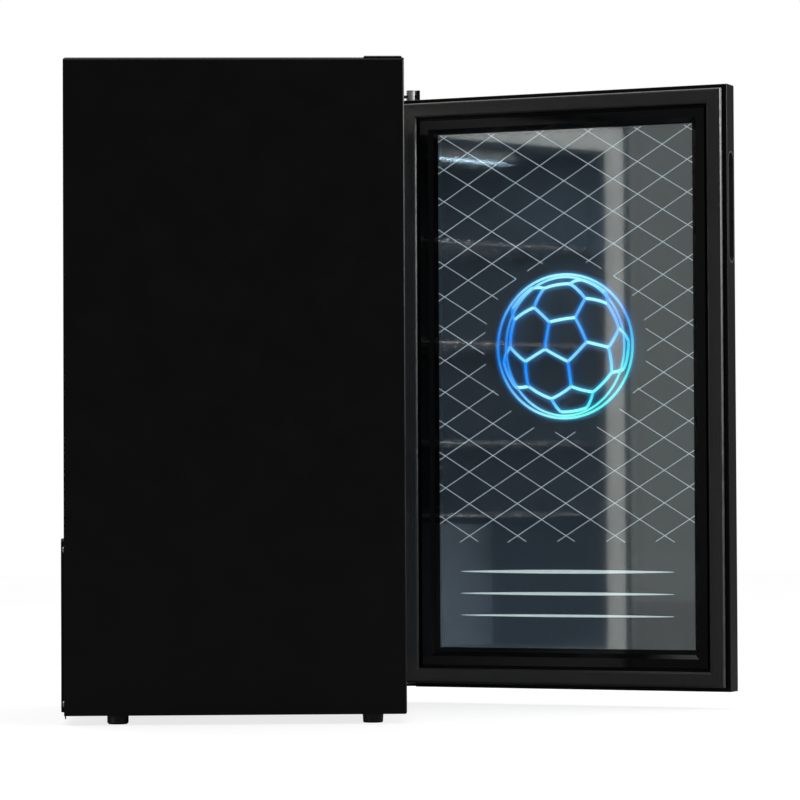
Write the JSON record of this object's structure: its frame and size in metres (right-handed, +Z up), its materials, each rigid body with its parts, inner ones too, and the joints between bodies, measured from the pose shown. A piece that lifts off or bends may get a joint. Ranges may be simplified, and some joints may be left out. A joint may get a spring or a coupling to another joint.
{
  "type": "mini fridge",
  "caption": "Free-standing black drinks cooler with a glazed door ajar, a lit line-art panel in the glass, wire shelves and a rear compressor bay.",
  "frame": {"origin": "on the floor, under the middle of the cabinet (the door not counted)", "axes": "+Z up; the shut door faces -Y; +X is the hinge side, the cabinet's right-hand side seen from the front"},
  "size_m": [0.4839, 0.8924, 0.85],
  "materials": {
    "black_steel": "satin",
    "galvanised_steel": "satin",
    "flange_plastic": "satin",
    "liner_plastic": "satin",
    "foam": "matte",
    "bare_aluminium": "satin",
    "copper": "satin",
    "compressor_paint": "satin",
    "black_rubber": "matte",
    "zinc_steel": "satin",
    "dark_plastic": "matte",
    "pale_plastic": "satin",
    "lamp_lens": "satin",
    "lamp_board": "matte",
    "knob_plastic": "satin",
    "switch_plastic": "satin",
    "shelf_chrome": "polished",
    "door_plastic": "satin",
    "gloss_black": "gloss",
    "gasket_rubber": "matte",
    "magnet_rubber": "matte",
    "clear_glass": "gloss",
    "panel_acrylic": "gloss",
    "tinted_glass": "gloss",
    "handle_plastic": "satin"
  },
  "bodies": {
    "cabinet": {"outer_wrap": "black_steel", "back_panel": "black_steel", "base_plate": "galvanised_steel", "front_flange": "flange_plastic", "liner": "liner_plastic", "insulation": "foam", "evaporator_plate": "bare_aluminium", "condenser_tubes": "copper", "compressor": "compressor_paint", "compressor_mounts": "black_rubber", "compressor_bolts": "zinc_steel", "relay_cover": "dark_plastic", "refrigerant_pipes": "copper", "filter_drier": "copper", "drip_tray": "dark_plastic", "drain_tube": "pale_plastic", "rear_cover": "black_steel", "cover_screws": "zinc_steel", "cord_gland": "black_rubber", "rear_feet": "dark_plastic", "foot_inserts": "zinc_steel", "lamp_housing": "pale_plastic", "lamp_lens": "lamp_lens", "lamp_board": "lamp_board", "control_box": "pale_plastic", "thermostat": "zinc_steel", "top_hinge_plate": "black_steel", "top_hinge_pin": "zinc_steel", "top_hinge_screws": "zinc_steel", "bottom_hinge_bracket": "black_steel", "bottom_hinge_pin": "zinc_steel", "bottom_hinge_screws": "zinc_steel", "hinge_hole_cap": "dark_plastic"},
    "door": {"door_frame": "door_plastic", "inner_frame": "gloss_black", "gasket": "gasket_rubber", "gasket_magnets": "magnet_rubber", "inner_glass": "clear_glass", "light_panel": "panel_acrylic", "outer_glass": "tinted_glass", "glass_spacers": "bare_aluminium", "door_led_strips": "lamp_board", "door_handle": "handle_plastic", "hinge_bushes": "pale_plastic"},
    "shelf_1": {"shelf_1": "shelf_chrome"},
    "shelf_2": {"shelf_2": "shelf_chrome"},
    "shelf_3": {"shelf_3": "shelf_chrome"},
    "shelf_4": {"shelf_4": "shelf_chrome"},
    "knob": {"thermostat_knob": "knob_plastic"},
    "switch": {"light_switch": "switch_plastic"},
    "foot_left": {"front_foot_left": "dark_plastic"},
    "foot_right": {"front_foot_right": "dark_plastic"}
  },
  "joints": [
    {"name": "door_hinge", "type": "hinge", "parent": "cabinet", "child": "door", "pos_m": [0.2285, -0.2417, 0.43], "axis": [0, 0, 1], "range_deg": [-64.5, 45.5]},
    {"name": "shelf_1_slide", "type": "slide", "parent": "cabinet", "child": "shelf_1", "axis": [0, -1, 0], "range_m": [0, 0.07]},
    {"name": "shelf_2_slide", "type": "slide", "parent": "cabinet", "child": "shelf_2", "axis": [0, -1, 0], "range_m": [0, 0.07]},
    {"name": "shelf_3_slide", "type": "slide", "parent": "cabinet", "child": "shelf_3", "axis": [0, -1, 0], "range_m": [0, 0.07]},
    {"name": "shelf_4_slide", "type": "slide", "parent": "cabinet", "child": "shelf_4", "axis": [0, -1, 0], "range_m": [0, 0.07]},
    {"name": "knob_turn", "type": "hinge", "parent": "cabinet", "child": "knob", "pos_m": [-0.022, 0.0925, 0.773], "axis": [0, 1, 0], "range_deg": [0, 270]},
    {"name": "switch_rock", "type": "hinge", "parent": "cabinet", "child": "switch", "pos_m": [0.03, 0.0945, 0.773], "axis": [1, 0, 0], "range_deg": [0, 9]},
    {"name": "foot_left_level", "type": "slide", "parent": "cabinet", "child": "foot_left", "axis": [0, 0, -1], "range_m": [0, 0.008]},
    {"name": "foot_right_level", "type": "slide", "parent": "cabinet", "child": "foot_right", "axis": [0, 0, -1], "range_m": [0, 0.008]}
  ]
}
